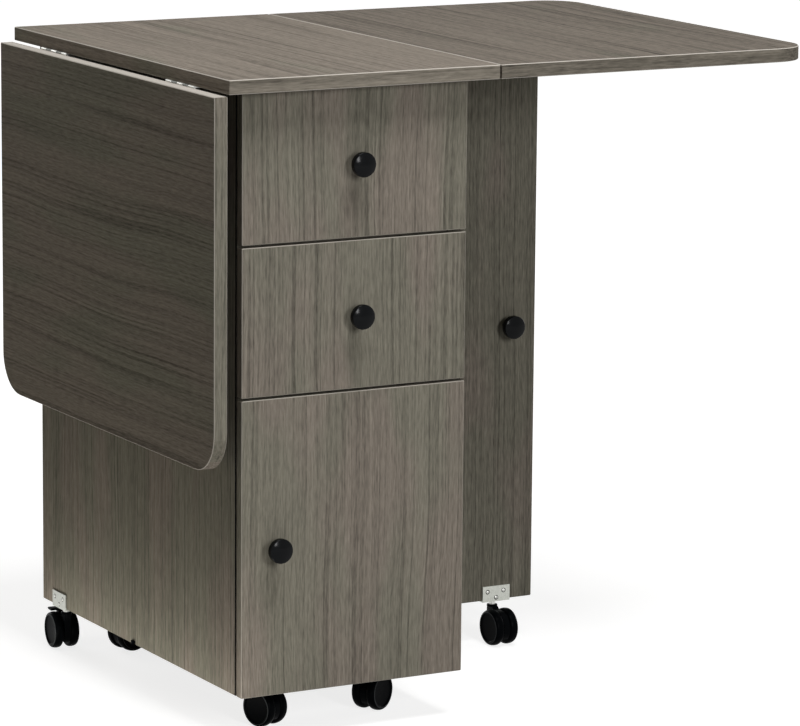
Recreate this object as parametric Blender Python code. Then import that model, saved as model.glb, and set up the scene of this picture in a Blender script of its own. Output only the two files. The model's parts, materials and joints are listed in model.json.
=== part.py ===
"""Rolling drop-leaf dining table: boards, leaves, gates, drawers, door, hinges and castors as separate pieces.

Lengths are in metres, +Z is up, the front faces -Y and the table stands on z = 0.
At rest the left leaf hangs, the right leaf is raised and the right gate is swung out under it.
"""

import math

import bmesh
import bpy
from mathutils import Matrix, Vector

MM = 0.001

# Top and leaves
TABLE_HEIGHT = 750 * MM
BOARD = 16 * MM
TOP_WIDTH = 337 * MM
TOP_DEPTH = 568 * MM
LEAF_LENGTH = 417 * MM
LEAF_CORNER = 47 * MM
SEAM = 2 * MM
ARRIS = 0.8 * MM

# Cabinet
SIDE_OVERHANG = 28 * MM
FRONT_OVERHANG = 24 * MM
REAR_OVERHANG = 11 * MM
UNDERSIDE = 54 * MM
BACK_BOARD = 9 * MM
FRONT_BOARD = 12 * MM
FRONT_STANDOFF = 2.7 * MM
FRONT_GAP = 3 * MM
DRAWER_FRONT_HEIGHT = 167 * MM

# Drawer boxes
DRAWER_WALL = 12 * MM
DRAWER_FLOOR = 5 * MM
DRAWER_FLOOR_RAISE = 7 * MM
DRAWER_BOX_HEIGHT = 118 * MM
DRAWER_BOX_DEPTH = 400 * MM
DRAWER_SIDE_GAP = 0.8 * MM

# Gates and their pivots
GATE_WIDTH = 255 * MM
GATE_GAP = 0.6 * MM
GATE_RELIEF_GAP = 0.6 * MM
GATE_REST_GAP = 0.5 * MM
GATE_REST_MARGIN = 8 * MM
PIVOT_PLATE = 2 * MM
PIVOT_SETBACK = 2.4 * MM
PIVOT_LENGTH = 34 * MM
PIVOT_WIDTH = 11 * MM
PIVOT_EAR = 3.4 * MM
PIVOT_PIN = 1.6 * MM
PIVOT_PIN_LENGTH = 8 * MM
GATE_CASTOR_INSET = 50 * MM
BRACKET_WIDTH = 37.5 * MM
BRACKET_HEIGHT = 19.5 * MM
BRACKET_SHEET = 1.5 * MM

# Leaf hinges
LEAF_HINGE_LENGTH = 70 * MM
LEAF_HINGE_WIDTH = 24 * MM
LEAF_HINGE_INSET = 117 * MM
LEAF_HINGE_KNUCKLES = 5
LEAF_HINGE_DROP = 0.8 * MM
LEAF_HINGE_PLATE = 1 * MM
LEAF_HINGE_KNUCKLE = 1.6 * MM
LEAF_HINGE_PIN = 0.8 * MM

# Door hinge strip
DOOR_HINGE_MARGIN = 20 * MM
DOOR_HINGE_WIDTH = 14 * MM
DOOR_HINGE_PLATE = 0.8 * MM
DOOR_HINGE_KNUCKLES = 9
DOOR_HINGE_KNUCKLE = 2 * MM
DOOR_HINGE_PIN = 1 * MM

# Knobs
KNOB_RADIUS = 14 * MM
KNOB_NECK = 4.8 * MM
KNOB_BASE = 5.6 * MM
KNOB_REACH = 23.5 * MM
KNOB_HEAD = 10 * MM
KNOB_RIM = 4 * MM
KNOB_INSET = 39.5 * MM

# Castors
WHEEL_RADIUS = 22 * MM
WHEEL_WIDTH = 11 * MM
WHEEL_DISH = 1.6 * MM
WHEEL_SPACE = 9 * MM
WHEEL_ROUND = 2.2 * MM
AXLE_RADIUS = 3 * MM
CASTOR_TRAIL = 16 * MM
HOOD_SETBACK = 2 * MM
HOOD_CLEARANCE = 9 * MM
NECK_RADIUS = 6.5 * MM
STEM_RADIUS = 4 * MM
STEM_SHOWN = 5 * MM
STEM_DEPTH = 12 * MM
CASTOR_INSET_X = 60 * MM
CASTOR_INSET_Y = 84 * MM
BRAKE_LENGTH = 13 * MM
BRAKE_WIDTH = 15 * MM
BRAKE_THICK = 2.5 * MM

# Clearances and facets
SEAT = 0.3 * MM
RUN = 0.35 * MM
ROUND_STEPS = 24
SMALL_STEPS = 12
CORNER_STEPS = 10

# Levels and planes that follow from the sizes above
TOP_UNDER = TABLE_HEIGHT - BOARD
HALF_TOP = TOP_WIDTH / 2
HALF_DEPTH = TOP_DEPTH / 2
HALF_CABINET = HALF_TOP - SIDE_OVERHANG
FRONT_FACE = -HALF_DEPTH + FRONT_OVERHANG
FRONT_BACK = FRONT_FACE + FRONT_BOARD
CARCASS_FRONT = FRONT_BACK + FRONT_STANDOFF
CARCASS_REAR = HALF_DEPTH - REAR_OVERHANG
PANEL_OUT = HALF_CABINET - BOARD - SEAT
PANEL_IN = PANEL_OUT - BOARD
HALF_INSIDE = PANEL_IN - SEAT
BACK_FRONT = CARCASS_REAR - BACK_BOARD
INNER_REAR = BACK_FRONT - SEAT
SIDE_TOP = TOP_UNDER - LEAF_HINGE_DROP - LEAF_HINGE_KNUCKLE - GATE_RELIEF_GAP
FRONTS_TOP = TOP_UNDER - FRONT_GAP
UPPER_GAP = FRONTS_TOP - DRAWER_FRONT_HEIGHT - FRONT_GAP / 2
LOWER_GAP = UPPER_GAP - DRAWER_FRONT_HEIGHT - FRONT_GAP
LEAF_AXIS_X = HALF_TOP + SEAM / 2
LEAF_AXIS_Z = TOP_UNDER - LEAF_HINGE_DROP
GATE_EDGE = CARCASS_REAR - GATE_WIDTH
GATE_AXIS_Y = GATE_EDGE - GATE_GAP / 2
OUTER_REAR = GATE_EDGE - GATE_GAP
NECK_TOP = UNDERSIDE - SEAT - BRACKET_SHEET - STEM_SHOWN
DOOR_AXIS_X = HALF_CABINET + DOOR_HINGE_KNUCKLE
DOOR_AXIS_Y = FRONT_BACK + FRONT_STANDOFF / 2
LEFT_REACH = LEAF_AXIS_X + LEAF_HINGE_DROP + BOARD
RIGHT_REACH = LEAF_AXIS_X + SEAM / 2 + LEAF_LENGTH
CABINET_X = (LEFT_REACH - RIGHT_REACH) / 2


def clear_scene():
    for obj in list(bpy.data.objects):
        bpy.data.objects.remove(obj)


def material(name, colour, roughness, metallic=0.0):
    made = bpy.data.materials.new(name)
    made.use_nodes = True
    shader = made.node_tree.nodes["Principled BSDF"]
    shader.inputs["Base Color"].default_value = (*colour, 1.0)
    shader.inputs["Roughness"].default_value = roughness
    shader.inputs["Metallic"].default_value = metallic
    made.diffuse_color = (*colour, 1.0)
    return made


def mesh_from(bm):
    bmesh.ops.recalc_face_normals(bm, faces=bm.faces[:])
    mesh = bpy.data.meshes.new("piece")
    bm.to_mesh(mesh)
    bm.free()
    return mesh


def block(low, high, arris=0.0):
    """A block between two corners, its edges eased by a chamfer."""
    bm = bmesh.new()
    bmesh.ops.create_cube(bm, size=1.0)
    size = Vector(high) - Vector(low)
    middle = (Vector(high) + Vector(low)) / 2
    bmesh.ops.scale(bm, vec=size, verts=bm.verts[:])
    bmesh.ops.translate(bm, vec=middle, verts=bm.verts[:])
    if arris:
        bmesh.ops.bevel(bm, geom=bm.edges[:], offset=arris, segments=1, affect="EDGES")
    return mesh_from(bm)


def prism(outline, low, high, arris=0.0):
    """A flat outline in X and Y, extruded from low to high along Z, with eased rims."""
    bm = bmesh.new()
    face = bm.faces.new([bm.verts.new((x, y, low)) for x, y in outline])
    grown = bmesh.ops.extrude_face_region(bm, geom=[face])
    raised = [item for item in grown["geom"] if isinstance(item, bmesh.types.BMVert)]
    bmesh.ops.translate(bm, vec=(0, 0, high - low), verts=raised)
    if arris:
        rims = [e for e in bm.edges if abs(e.verts[0].co.z - e.verts[1].co.z) < arris]
        bmesh.ops.bevel(bm, geom=rims, offset=arris, segments=1, affect="EDGES")
    return mesh_from(bm)


def turned(profile, steps=ROUND_STEPS, phase=0.0):
    """A closed solid turned about Z from (radius, height) points that start and end on the axis."""
    bm = bmesh.new()
    start = bm.verts.new((0, 0, profile[0][1]))
    end = bm.verts.new((0, 0, profile[-1][1]))
    rings = []
    for radius, height in profile[1:-1]:
        ring = []
        for step in range(steps):
            angle = 2 * math.pi * (step + phase) / steps
            ring.append(bm.verts.new((radius * math.cos(angle), radius * math.sin(angle), height)))
        rings.append(ring)
    for step in range(steps):
        after = (step + 1) % steps
        bm.faces.new((start, rings[0][after], rings[0][step]))
        bm.faces.new((end, rings[-1][step], rings[-1][after]))
        for lower, upper in zip(rings, rings[1:]):
            bm.faces.new((lower[step], lower[after], upper[after], upper[step]))
    return mesh_from(bm)


def rod(radius, low, high, steps=SMALL_STEPS):
    """A round bar along Z."""
    return turned([(0, low), (radius, low), (radius, high), (0, high)], steps, 0.5)


def moved(mesh, offset=(0, 0, 0), turn=None):
    """The mesh, first turned about the origin and then shifted."""
    if turn is not None:
        mesh.transform(turn.to_4x4())
    mesh.transform(Matrix.Translation(offset))
    return mesh


def along_x(mesh):
    return moved(mesh, turn=Matrix.Rotation(math.pi / 2, 3, "Y"))


def along_y(mesh):
    return moved(mesh, turn=Matrix.Rotation(-math.pi / 2, 3, "X"))


def combine(base, joined=(), cut=()):
    """The base with some solids joined to it and others cut away, as one mesh."""
    work = bpy.data.objects.new("work", base)
    helpers = [work]
    bpy.context.scene.collection.objects.link(work)
    for operation, solids in (("UNION", joined), ("DIFFERENCE", cut)):
        for solid in solids:
            helper = bpy.data.objects.new("helper", solid)
            bpy.context.scene.collection.objects.link(helper)
            helpers.append(helper)
            step = work.modifiers.new(operation, "BOOLEAN")
            step.operation = operation
            step.solver = "EXACT"
            step.object = helper
    bpy.context.view_layer.update()
    graph = bpy.context.evaluated_depsgraph_get()
    result = bpy.data.meshes.new_from_object(work.evaluated_get(graph))
    for helper in helpers:
        bpy.data.objects.remove(helper)
    return result


def place(name, mesh, look, parent, location=(0, 0, 0), smooth=False):
    mesh.name = name
    mesh.materials.clear()
    mesh.materials.append(look)
    if smooth:
        mesh.shade_smooth()
        mesh.set_sharp_from_angle(angle=math.radians(35))
    obj = bpy.data.objects.new(name, mesh)
    bpy.context.scene.collection.objects.link(obj)
    obj.parent = parent
    obj.location = location
    return obj


def frame(name, parent=None, location=(0, 0, 0), rotation=(0, 0, 0)):
    """An empty that carries the pieces of one body, on its joint's axis."""
    empty = bpy.data.objects.new(name, None)
    empty.empty_display_size = 0.05
    bpy.context.scene.collection.objects.link(empty)
    empty.parent = parent
    empty.location = location
    empty.rotation_euler = rotation
    return empty


def board(name, low, high, look, parent, cut=(), arris=ARRIS):
    """A board between two corners of its parent's frame, with its origin at its middle."""
    mesh = block(low, high, arris)
    if cut:
        mesh = combine(mesh, cut=cut)
    middle = (Vector(low) + Vector(high)) / 2
    mesh.transform(Matrix.Translation(-middle))
    return place(name, mesh, look, parent, middle)


def hinge_half(length, count, first, width, sheet, offset, barrel, carries_pin):
    """Half a butt hinge: its axis along Y, its plate along +X with the seat face at z = offset.

    The barrel gives the radii of knuckle and pin. It has count knuckles, and this half owns every second
    one from first.
    """
    knuckle, pin = barrel
    reach = max(knuckle, offset) + RUN
    half = length / 2
    pitch = length / count
    plate = block((reach, -half, offset - sheet), (width, half, offset))
    joined = []
    for index in range(first, count, 2):
        start = -half + index * pitch + (RUN / 2 if index else 0)
        end = -half + (index + 1) * pitch - (RUN / 2 if index < count - 1 else 0)
        joined.append(along_y(rod(knuckle, start, end, ROUND_STEPS // 2)))
        joined.append(block((0, start, offset - sheet), (reach + sheet, end, offset)))
    if carries_pin:
        joined.append(along_y(rod(pin, -half + RUN, half - RUN)))
        return combine(plate, joined)
    bore = along_y(rod(pin + RUN, -half - pitch, half + pitch))
    return combine(plate, joined, [bore])


def leaf(name, side, look, parent):
    """A leaf in its raised place beside its hinge axis, with the two outer corners rounded."""
    inner = SEAM / 2
    outer = inner + LEAF_LENGTH
    outline = [(inner, -HALF_DEPTH)]
    for turn, y_end in ((-1, -HALF_DEPTH), (1, HALF_DEPTH)):
        for step in range(CORNER_STEPS + 1):
            share = step / CORNER_STEPS if turn < 0 else 1 - step / CORNER_STEPS
            angle = share * math.pi / 2
            x = outer - LEAF_CORNER + LEAF_CORNER * math.sin(angle)
            y = y_end - turn * LEAF_CORNER + turn * LEAF_CORNER * math.cos(angle)
            outline.append((x, y))
    outline.append((inner, HALF_DEPTH))
    mesh = prism([(side * x, y) for x, y in outline], LEAF_HINGE_DROP, LEAF_HINGE_DROP + BOARD, ARRIS)
    place(name, mesh, look, parent)


def leaf_hinges(word, side, steel, leaf_frame, table):
    """Two butt hinges under the seam of one leaf."""
    hinge_y = HALF_DEPTH - LEAF_HINGE_INSET
    barrel = (LEAF_HINGE_KNUCKLE, LEAF_HINGE_PIN)
    sizes = (LEAF_HINGE_WIDTH, LEAF_HINGE_PLATE, LEAF_HINGE_DROP - SEAT, barrel)
    about = Matrix.Rotation(math.pi, 3, "Z")
    for place_word, y in (("front", -hinge_y), ("rear", hinge_y)):
        fixed = hinge_half(LEAF_HINGE_LENGTH, LEAF_HINGE_KNUCKLES, 0, *sizes, True)
        moving = hinge_half(LEAF_HINGE_LENGTH, LEAF_HINGE_KNUCKLES, 1, *sizes, False)
        moved(fixed if side > 0 else moving, turn=about)
        place(
            f"{word}_{place_word}_hinge_top_half", fixed, steel, table, (side * LEAF_AXIS_X, y, LEAF_AXIS_Z), True
        )
        place(f"{word}_{place_word}_hinge_leaf_half", moving, steel, leaf_frame, (0, y, 0), True)


def knob(name, look, parent, location, turn):
    """A turned knob: a slim neck with a small foot, and a thick head with a domed face."""
    back = KNOB_REACH - KNOB_HEAD
    head = KNOB_REACH - KNOB_RIM
    profile = [(0, 0), (KNOB_BASE, 0), (KNOB_BASE, KNOB_RIM / 3)]
    profile.append((KNOB_NECK, back / 3))
    profile.append((KNOB_NECK, back - KNOB_RIM / 2))
    profile.append(((KNOB_NECK + KNOB_RADIUS) / 2, back))
    profile.append((KNOB_RADIUS - KNOB_RIM / 4, back + KNOB_RIM / 4))
    profile.append((KNOB_RADIUS, back + KNOB_RIM / 2))
    profile.append((KNOB_RADIUS, head + KNOB_RIM / 4))
    for step in range(1, 4):
        angle = step * math.pi / 8
        radius = KNOB_RADIUS * math.cos(angle)
        height = head + KNOB_RIM / 4 + 0.75 * KNOB_RIM * math.sin(angle)
        profile.append((radius, height))
    profile.append((0, KNOB_REACH))
    mesh = moved(turned(profile), turn=turn)
    place(name, mesh, look, parent, location, True)


def drawer(word, low, looks, table):
    """A drawer whose front covers the cabinet's edges and whose box slides on the panel below it."""
    wood, _, black = looks
    high = low + DRAWER_FRONT_HEIGHT
    body = frame(f"{word}_drawer_frame", table, (0, FRONT_FACE, low))
    half_box = PANEL_IN - DRAWER_SIDE_GAP
    box_low = BOARD / 2 - FRONT_GAP / 2 + SEAT
    box_high = box_low + DRAWER_BOX_HEIGHT
    start = FRONT_BOARD + SEAT
    end = start + DRAWER_BOX_DEPTH
    inside = half_box - DRAWER_WALL - SEAT
    back_start = end - DRAWER_WALL
    floor_low = box_low + DRAWER_FLOOR_RAISE
    board(f"{word}_drawer_front", (-HALF_CABINET, 0, 0), (HALF_CABINET, FRONT_BOARD, high - low), wood, body)
    for side_word, side in (("left", -1), ("right", 1)):
        outer = side * half_box
        inner = side * (half_box - DRAWER_WALL)
        ends = sorted((outer, inner))
        board(
            f"{word}_drawer_{side_word}_side", (ends[0], start, box_low), (ends[1], end, box_high), wood, body
        )
    board(f"{word}_drawer_back", (-inside, back_start, box_low), (inside, end, box_high), wood, body)
    board(
        f"{word}_drawer_floor",
        (-inside, start, floor_low),
        (inside, back_start - SEAT, floor_low + DRAWER_FLOOR),
        wood,
        body,
    )
    forward = Matrix.Rotation(math.pi / 2, 3, "X")
    knob(f"{word}_drawer_knob", black, body, (0, -SEAT, (high - low) / 2), forward)


def door(looks, table):
    wood, steel, black = looks
    body = frame("door_frame", table, (DOOR_AXIS_X, DOOR_AXIS_Y, 0))
    right = HALF_CABINET - DOOR_AXIS_X
    left = -HALF_CABINET - DOOR_AXIS_X
    near = FRONT_FACE - DOOR_AXIS_Y
    far = FRONT_BACK - DOOR_AXIS_Y
    top = LOWER_GAP - FRONT_GAP / 2
    board("cupboard_door", (left, near, UNDERSIDE), (right, far, top), wood, body)
    forward = Matrix.Rotation(math.pi / 2, 3, "X")
    knob("door_knob", black, body, (left + KNOB_INSET, near - SEAT, (UNDERSIDE + top) / 2), forward)
    length = top - UNDERSIDE - 2 * DOOR_HINGE_MARGIN
    middle = (UNDERSIDE + top) / 2
    barrel = (DOOR_HINGE_KNUCKLE, DOOR_HINGE_PIN)
    sizes = (DOOR_HINGE_WIDTH, DOOR_HINGE_PLATE, FRONT_STANDOFF / 2 - SEAT, barrel)
    fixed = hinge_half(length, DOOR_HINGE_KNUCKLES, 0, *sizes, True)
    moving = hinge_half(length, DOOR_HINGE_KNUCKLES, 1, *sizes, False)
    to_carcass = Matrix(((-1, 0, 0), (0, 0, 1), (0, 1, 0)))
    to_door = Matrix(((-1, 0, 0), (0, 0, -1), (0, -1, 0)))
    moved(fixed, turn=to_carcass)
    moved(moving, turn=to_door)
    place("door_hinge_fixed_half", fixed, steel, table, (DOOR_AXIS_X, DOOR_AXIS_Y, middle), True)
    place("door_hinge_door_half", moving, steel, body, (0, 0, middle), True)


def carcass(looks, table):
    """The fixed boards: full-depth inner sides, front outer sides, base, back and the two panels inside."""
    wood = looks[0]
    panel_top = TOP_UNDER - SEAT
    pivot_low = UNDERSIDE + 2 * PIVOT_PLATE + 3 * SEAT
    ear = PIVOT_EAR + RUN + GATE_GAP / 2
    for word, side in (("left", -1), ("right", 1)):
        ends = sorted((side * PANEL_IN, side * PANEL_OUT))
        board(
            f"{word}_inner_side", (ends[0], CARCASS_FRONT, UNDERSIDE), (ends[1], CARCASS_REAR, panel_top), wood, table
        )
        ends = sorted((side * (HALF_CABINET - BOARD), side * HALF_CABINET))
        inward = sorted((side * (HALF_CABINET - PIVOT_SETBACK + SEAT), side * (HALF_CABINET - 2 * BOARD)))
        outward = sorted((side * (HALF_CABINET - BOARD), side * (HALF_CABINET + BOARD)))
        arm_start = OUTER_REAR - PIVOT_LENGTH - RUN
        slot = block((inward[0], arm_start, 0), (inward[1], OUTER_REAR + ear, pivot_low))
        notch = block((outward[0], OUTER_REAR - ear, 0), (outward[1], OUTER_REAR + ear, pivot_low))
        past = OUTER_REAR + 2 * ARRIS
        square = block((ends[0] - BOARD, OUTER_REAR, 0), (ends[1] + BOARD, past + ARRIS, TABLE_HEIGHT))
        board(
            f"{word}_outer_side",
            (ends[0], CARCASS_FRONT, UNDERSIDE),
            (ends[1], past, SIDE_TOP),
            wood,
            table,
            (slot, notch, square),
        )
    bores = []
    for x, y in castor_spots():
        bores.append(moved(rod(STEM_RADIUS + RUN, -BOARD, STEM_DEPTH + SEAT), (x, y, UNDERSIDE)))
    board(
        "base_panel",
        (-HALF_INSIDE, CARCASS_FRONT, UNDERSIDE),
        (HALF_INSIDE, INNER_REAR, UNDERSIDE + BOARD),
        wood,
        table,
        bores,
    )
    board("back_panel", (-HALF_INSIDE, BACK_FRONT, UNDERSIDE), (HALF_INSIDE, CARCASS_REAR, panel_top), wood, table)
    for name, level in (("drawer_panel", UPPER_GAP), ("cupboard_roof", LOWER_GAP)):
        board(
            name,
            (-HALF_INSIDE, CARCASS_FRONT, level - BOARD / 2),
            (HALF_INSIDE, INNER_REAR, level + BOARD / 2),
            wood,
            table,
        )


def castor_spots():
    """The four stem places under the cabinet: front left, front right, rear left, rear right."""
    x = HALF_CABINET - CASTOR_INSET_X
    front = FRONT_FACE + CASTOR_INSET_Y
    rear = CARCASS_REAR - CASTOR_INSET_Y
    return [(-x, front), (x, front), (-x, rear), (x, rear)]


def pivot_arm(side, low, high):
    """A gate's pivot plate: a strip along the gate's edge, with a round ear on the pivot axis."""
    ends = sorted((side * PIVOT_SETBACK, side * PIVOT_WIDTH))
    strip = block((0, ends[0], low), (PIVOT_LENGTH, ends[1], high))
    return combine(strip, [rod(PIVOT_EAR, low, high, ROUND_STEPS)])


def gate_rest_start():
    """How far from its pivot a gate may stand tall and still swing clear of the leaf hinges."""
    across = LEAF_AXIS_X + LEAF_HINGE_WIDTH - HALF_CABINET
    back = HALF_DEPTH - LEAF_HINGE_INSET + LEAF_HINGE_LENGTH / 2 - GATE_AXIS_Y
    return math.hypot(across, back) + GATE_REST_MARGIN


def gate(word, side, turn, looks, table):
    """A half-depth gate that swings on pivots at the outer corner of the cabinet's side.

    In its own frame the gate runs along +X from the pivot axis, with its outer face in the plane y = 0.
    Its top edge is relieved to pass under the leaf hinges, and its outer end stands taller to carry the leaf.
    The edge at the seam is square, so that the closed seam is a fine line.
    """
    wood, steel, black = looks
    body = frame(f"{word}_gate_frame", table, (side * HALF_CABINET, GATE_AXIS_Y, 0), (0, 0, turn))
    near = GATE_GAP / 2
    far = near + GATE_WIDTH
    depth = sorted((0, side * BOARD))
    through = (depth[0] - BOARD, depth[1] + BOARD)
    inward = sorted((side * (PIVOT_SETBACK - SEAT), side * 2 * BOARD))
    ear = PIVOT_EAR + RUN
    arm_end = PIVOT_LENGTH + RUN
    stem_x = far - GATE_CASTOR_INSET
    stem_y = side * BOARD / 2
    rest_top = TOP_UNDER - GATE_REST_GAP
    arm_top = SIDE_TOP + SEAT + PIVOT_PLATE
    low_level = UNDERSIDE + SEAT + PIVOT_PLATE
    fixed_level = UNDERSIDE + 2 * PIVOT_PLATE + 3 * SEAT
    cuts = [
        block((-ear, through[0], SIDE_TOP), (gate_rest_start(), through[1], TABLE_HEIGHT)),
        block((-ear, inward[0], 0), (arm_end, inward[1], low_level + SEAT)),
        block((-ear, through[0], -BOARD), (ear, through[1], fixed_level)),
        moved(rod(STEM_RADIUS + RUN, -BOARD, STEM_DEPTH + SEAT), (stem_x, stem_y, UNDERSIDE)),
    ]
    cuts.append(block((near - 4 * ARRIS, through[0], 0), (near, through[1], TABLE_HEIGHT)))
    mesh = combine(block((near - 2 * ARRIS, depth[0], UNDERSIDE), (far, depth[1], rest_top), ARRIS), cut=cuts)
    place(f"{word}_gate", mesh, wood, body)
    upper = pivot_arm(side, SIDE_TOP + SEAT, arm_top)
    pin = rod(PIVOT_PIN, arm_top - PIVOT_PLATE / 2, TOP_UNDER + PIVOT_PIN_LENGTH)
    place(f"{word}_gate_top_pivot", combine(upper, [pin]), steel, body, smooth=True)
    lower = pivot_arm(side, UNDERSIDE + SEAT, low_level)
    lower = combine(lower, cut=[rod(PIVOT_PIN + RUN, 0, TABLE_HEIGHT)])
    place(f"{word}_gate_foot_pivot", lower, steel, body, smooth=True)
    outward = Matrix.Rotation(side * math.pi / 2, 3, "X")
    knob(f"{word}_gate_knob", black, body, (far - KNOB_INSET, -side * SEAT, (UNDERSIDE + SIDE_TOP) / 2), outward)
    castor_bracket(word, side, stem_x, stem_y, steel, body)
    return body, (stem_x, stem_y, 0)


def pivot_base(word, side, looks, table):
    """The fixed half of a gate's lower pivot, let into the bottom edge of the outer side."""
    low = UNDERSIDE + PIVOT_PLATE + 2 * SEAT
    high = low + PIVOT_PLATE
    ends = sorted((-side * PIVOT_SETBACK, -side * PIVOT_WIDTH))
    strip = block((ends[0], -PIVOT_LENGTH, low), (ends[1], 0, high))
    ear = rod(PIVOT_EAR, low, high, ROUND_STEPS)
    pin = rod(PIVOT_PIN, UNDERSIDE + SEAT, high - PIVOT_PLATE / 2)
    mesh = combine(strip, [ear, pin])
    place(f"{word}_gate_pivot_base", mesh, looks[1], table, (side * HALF_CABINET, GATE_AXIS_Y, 0), True)


def castor_bracket(word, side, stem_x, stem_y, steel, body):
    """A bent plate: one leg screwed to the gate's outer face, the other under its edge on the castor's stem."""
    half = BRACKET_WIDTH / 2
    low = UNDERSIDE - SEAT - BRACKET_SHEET
    face = sorted((-side * SEAT, -side * (SEAT + BRACKET_SHEET)))
    foot = sorted((-side * (SEAT + BRACKET_SHEET), side * BOARD))
    upright = block((stem_x - half, face[0], low), (stem_x + half, face[1], low + BRACKET_HEIGHT))
    under = block((stem_x - half, foot[0], low), (stem_x + half, foot[1], low + BRACKET_SHEET))
    hole = moved(rod(STEM_RADIUS + RUN, 0, TABLE_HEIGHT), (stem_x, stem_y, 0))
    place(f"{word}_castor_bracket", combine(upright, [under], [hole]), steel, body)


def castor(word, looks, parent, location, turn, brake=False):
    """A twin-wheel castor: a hood on a swivelling stem, and two wheels on one axle that trails the stem."""
    black = looks[2]
    body = frame(f"{word}_castor_frame", parent, location, (0, 0, turn))
    hood_half = WHEEL_SPACE / 2 - RUN
    hood_radius = WHEEL_RADIUS - HOOD_SETBACK
    axle = (0, -CASTOR_TRAIL, WHEEL_RADIUS)
    hood = moved(along_x(rod(hood_radius, -hood_half, hood_half, ROUND_STEPS)), axle)
    neck_low = 2 * WHEEL_RADIUS + RUN
    joined = [
        block((-hood_half, -NECK_RADIUS, WHEEL_RADIUS), (hood_half, NECK_RADIUS * 0.9, (neck_low + NECK_TOP) / 2)),
        rod(NECK_RADIUS, neck_low, NECK_TOP, ROUND_STEPS),
        rod(STEM_RADIUS, NECK_TOP - (NECK_TOP - neck_low) / 2, UNDERSIDE + STEM_DEPTH),
    ]
    if brake:
        joined.append(brake_pedal(hood_half, hood_radius))
    bore = moved(along_x(rod(AXLE_RADIUS + RUN, -WHEEL_SPACE, WHEEL_SPACE)), axle)
    reach = CASTOR_TRAIL + WHEEL_RADIUS
    clearance = block((-WHEEL_SPACE, -2 * reach, -WHEEL_RADIUS), (WHEEL_SPACE, reach, HOOD_CLEARANCE))
    place(f"{word}_castor_hood", combine(hood, joined, [bore, clearance]), black, body, smooth=True)
    wheel_frame = frame(f"{word}_wheels_frame", body, axle)
    place(f"{word}_castor_wheels", along_x(turned(wheel_profile())), black, wheel_frame, smooth=True)


def brake_pedal(hood_half, hood_radius):
    """A pedal that lies over one wheel on the trailing side, on a post that rises from the hood."""
    inner = -hood_half / 2
    near = -CASTOR_TRAIL - BRAKE_THICK / 2
    far = near - BRAKE_LENGTH
    low = 2 * WHEEL_RADIUS + 0.4 * BRAKE_THICK
    post_low = WHEEL_RADIUS + hood_radius - 2 * BRAKE_THICK
    pedal = block((inner, far, low), (inner + BRAKE_WIDTH, near, low + BRAKE_THICK))
    post = block(
        (inner, far + BRAKE_LENGTH / 2, post_low), (hood_half, near - BRAKE_THICK / 4, low + BRAKE_THICK / 2)
    )
    return combine(pedal, [post])


def wheel_profile():
    """Both wheels and their axle as one turned outline, from one dished outer face to the other."""
    inner = WHEEL_SPACE / 2
    outer = inner + WHEEL_WIDTH
    rim = WHEEL_RADIUS - 2 * WHEEL_ROUND
    half = [(0, -outer + WHEEL_DISH), (rim - WHEEL_ROUND, -outer + WHEEL_DISH), (rim, -outer)]
    for step in range(3):
        angle = step * math.pi / 4
        radius = WHEEL_RADIUS - WHEEL_ROUND + WHEEL_ROUND * math.sin(angle)
        half.append((radius, -outer + WHEEL_ROUND - WHEEL_ROUND * math.cos(angle)))
    half.append((WHEEL_RADIUS, -inner - WHEEL_ROUND / 2))
    half.append((WHEEL_RADIUS - WHEEL_ROUND / 2, -inner))
    half.append((AXLE_RADIUS, -inner))
    return half + [(radius, -height) for radius, height in reversed(half)]


def table_top(looks, table):
    """The fixed centre board, bored from below for the gates' top pivots."""
    bores = []
    for side in (-1, 1):
        pin = rod(PIVOT_PIN + RUN, -BOARD, PIVOT_PIN_LENGTH + SEAT)
        bores.append(moved(pin, (side * HALF_CABINET, GATE_AXIS_Y, TOP_UNDER)))
    board(
        "centre_top",
        (-HALF_TOP, -HALF_DEPTH, TOP_UNDER),
        (HALF_TOP, HALF_DEPTH, TABLE_HEIGHT),
        looks[0],
        table,
        bores,
    )


def main():
    clear_scene()
    wood = material("grey_brown_laminate", (0.145, 0.122, 0.098), 0.5)
    steel = material("zinc_plated_steel", (0.62, 0.62, 0.60), 0.35, 0.9)
    black = material("black_plastic", (0.012, 0.012, 0.013), 0.42)
    looks = (wood, steel, black)
    table = frame("table_frame", location=(CABINET_X, 0, 0))
    table_top(looks, table)
    carcass(looks, table)
    hang = frame("left_leaf_frame", table, (-LEAF_AXIS_X, 0, LEAF_AXIS_Z), (0, -math.pi / 2, 0))
    lift = frame("right_leaf_frame", table, (LEAF_AXIS_X, 0, LEAF_AXIS_Z))
    for word, side, leaf_frame in (("left", -1, hang), ("right", 1, lift)):
        leaf(f"{word}_leaf", side, wood, leaf_frame)
        leaf_hinges(word, side, steel, leaf_frame, table)
    drawer("upper", UPPER_GAP + FRONT_GAP / 2, looks, table)
    drawer("lower", LOWER_GAP + FRONT_GAP / 2, looks, table)
    door(looks, table)
    spots = castor_spots()
    words = ("front_left", "front_right", "rear_left", "rear_right")
    angles = (19, -61, 100, 20)
    for word, (x, y), angle in zip(words, spots, angles):
        castor(word, looks, table, (x, y, 0), math.radians(angle))
    for word, side, turn, angle in (("left", -1, math.pi / 2, 86), ("right", 1, 0, 2)):
        gate_frame, stem = gate(word, side, turn, looks, table)
        pivot_base(word, side, looks, table)
        castor(f"{word}_gate", looks, gate_frame, stem, math.radians(angle), word == "left")


main()
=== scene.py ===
"""Dresses the folding dining table in wood-grain laminate, black plastic and plated steel.

Boards, hinges, brackets and pivots keep their solids. Finer forms replace the knobs and castors, and screws
are added. The camera and the studio follow the photograph.
"""

import json
import math
from collections import namedtuple

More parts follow.
